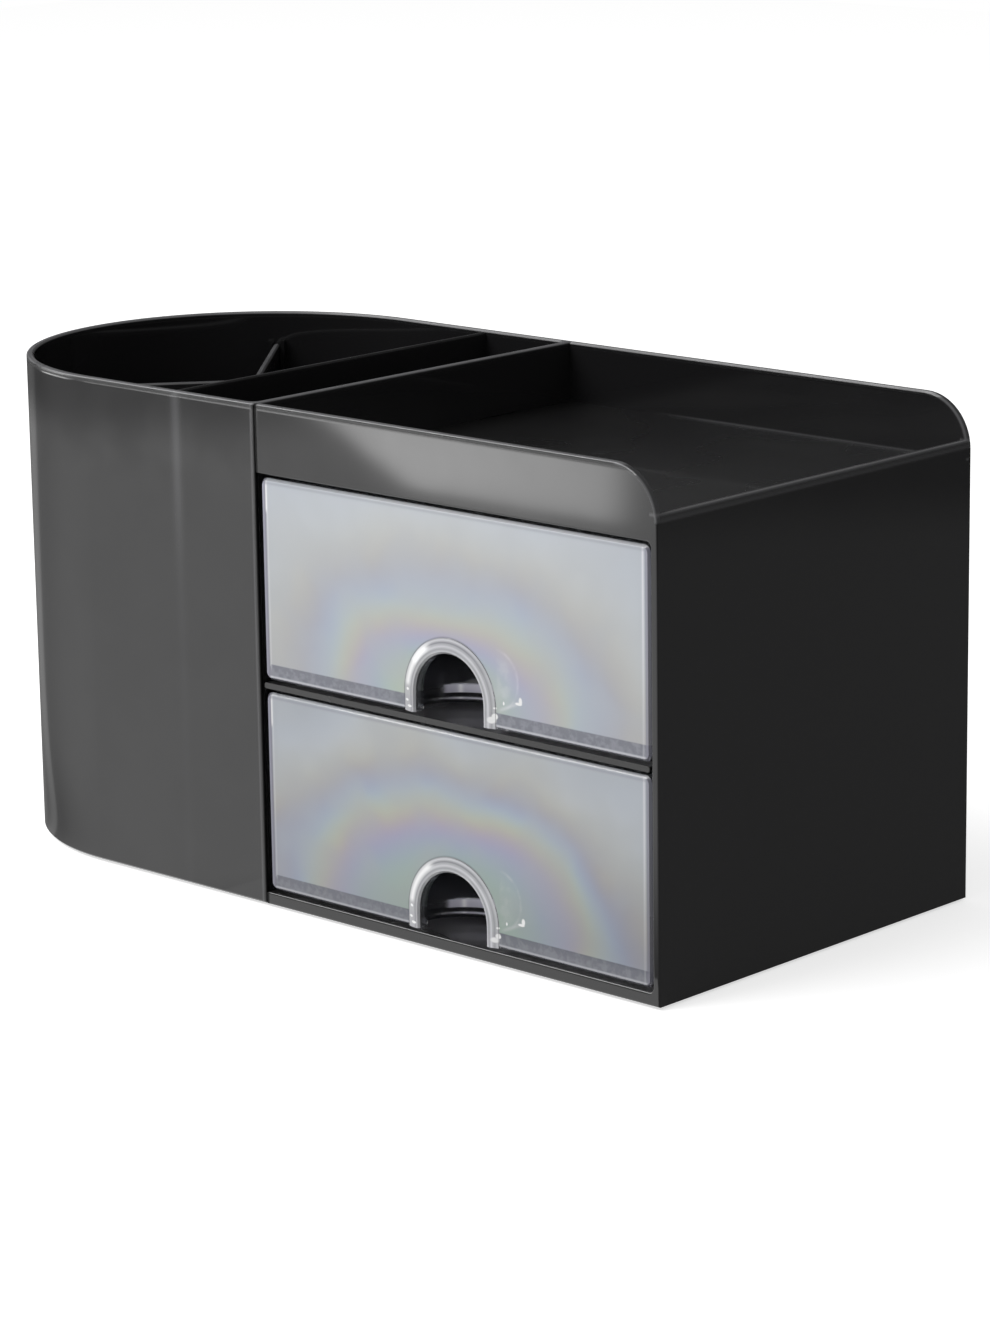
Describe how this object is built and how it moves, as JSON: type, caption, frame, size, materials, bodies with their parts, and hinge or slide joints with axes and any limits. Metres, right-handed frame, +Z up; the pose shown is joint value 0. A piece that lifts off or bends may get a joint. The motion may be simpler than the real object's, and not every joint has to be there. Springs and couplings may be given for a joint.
{
  "type": "desktop drawer organizer",
  "caption": "Black desk organizer: half-round divided pen cup beside a small cabinet with clear pull-out drawers and a shallow tray on top.",
  "frame": {"origin": "middle of the footprint, on the surface that the organizer stands on", "axes": "+X along the front from the pen cup to the drawers, +Y from the front to the back, +Z up"},
  "size_m": [0.256, 0.12, 0.1308],
  "materials": {
    "black_plastic": "satin moulded black plastic",
    "clear_plastic": "clear pearly moulded plastic with pale rainbow stress colours",
    "pad_rubber": "matte"
  },
  "bodies": {
    "root": {"pen_cup": "black_plastic", "pen_partition": "black_plastic", "cabinet_shell": "black_plastic", "middle_shelf": "black_plastic", "foot_pad_front_left": "pad_rubber", "foot_pad_front_right": "pad_rubber", "foot_pad_back_left": "pad_rubber", "foot_pad_back_right": "pad_rubber"},
    "upper_drawer": {"upper_drawer": "clear_plastic"},
    "lower_drawer": {"lower_drawer": "clear_plastic"}
  },
  "joints": [
    {"name": "upper_drawer_slide", "type": "slide", "parent": "root", "child": "upper_drawer", "axis": [0, -1, 0], "range_m": [0, 0.09]},
    {"name": "lower_drawer_slide", "type": "slide", "parent": "root", "child": "lower_drawer", "axis": [0, -1, 0], "range_m": [0, 0.09]}
  ]
}
